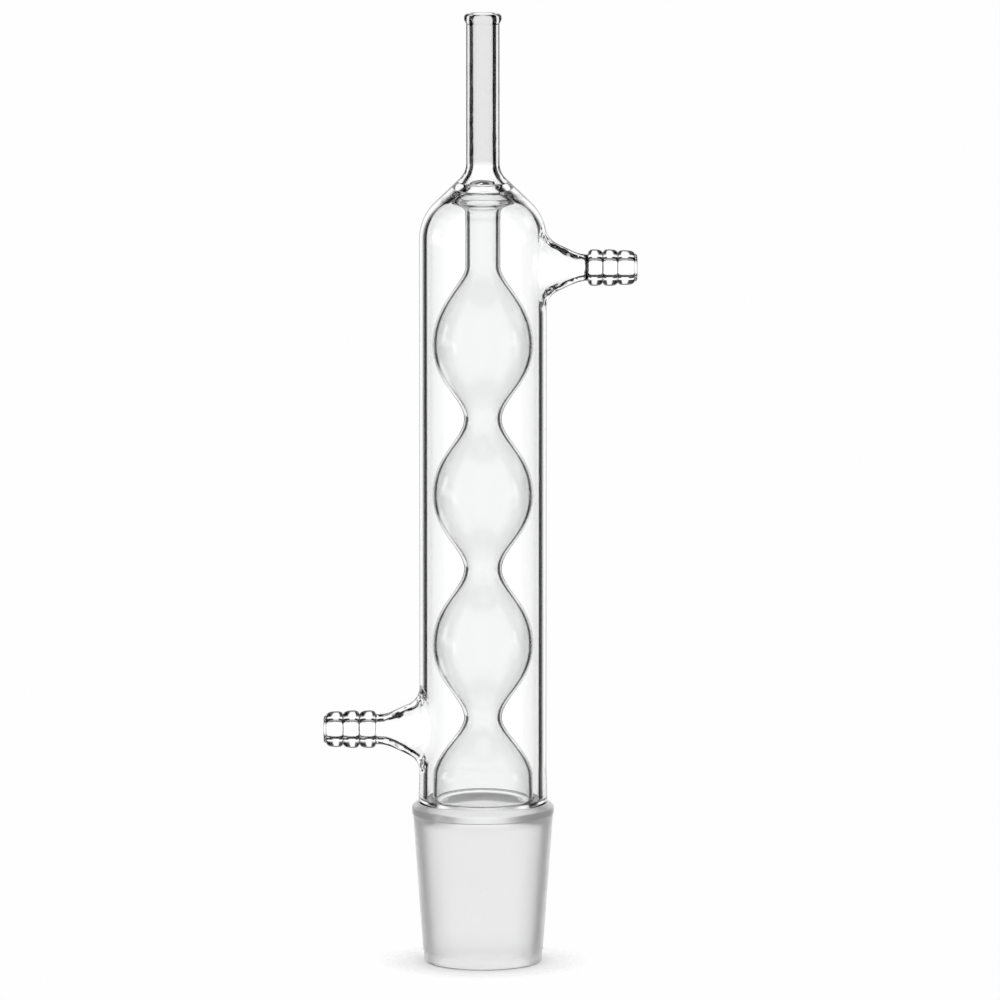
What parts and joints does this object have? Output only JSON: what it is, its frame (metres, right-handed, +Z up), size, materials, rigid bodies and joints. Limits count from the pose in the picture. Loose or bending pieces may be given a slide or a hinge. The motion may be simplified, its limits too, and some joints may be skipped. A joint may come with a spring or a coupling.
{
  "type": "glass condenser",
  "caption": "Clear glass bulb condenser: a bulbed inner tube fused inside a water jacket, with a frosted ground cone below, a vent tube above and barbed hose arms.",
  "frame": {"origin": "centre of the ring-shaped end face of the ground cone, on which the condenser stands", "axes": "+Z up along the common axis of the tubes, +X along the upper hose arm, with the lower hose arm towards -X"},
  "size_m": [0.0772, 0.035, 0.2351],
  "materials": {
    "clear_glass": "clear fire-polished borosilicate glass, fine-ground on the cone"
  },
  "bodies": {
    "root": {"glass_condenser": "clear_glass"}
  },
  "joints": []
}
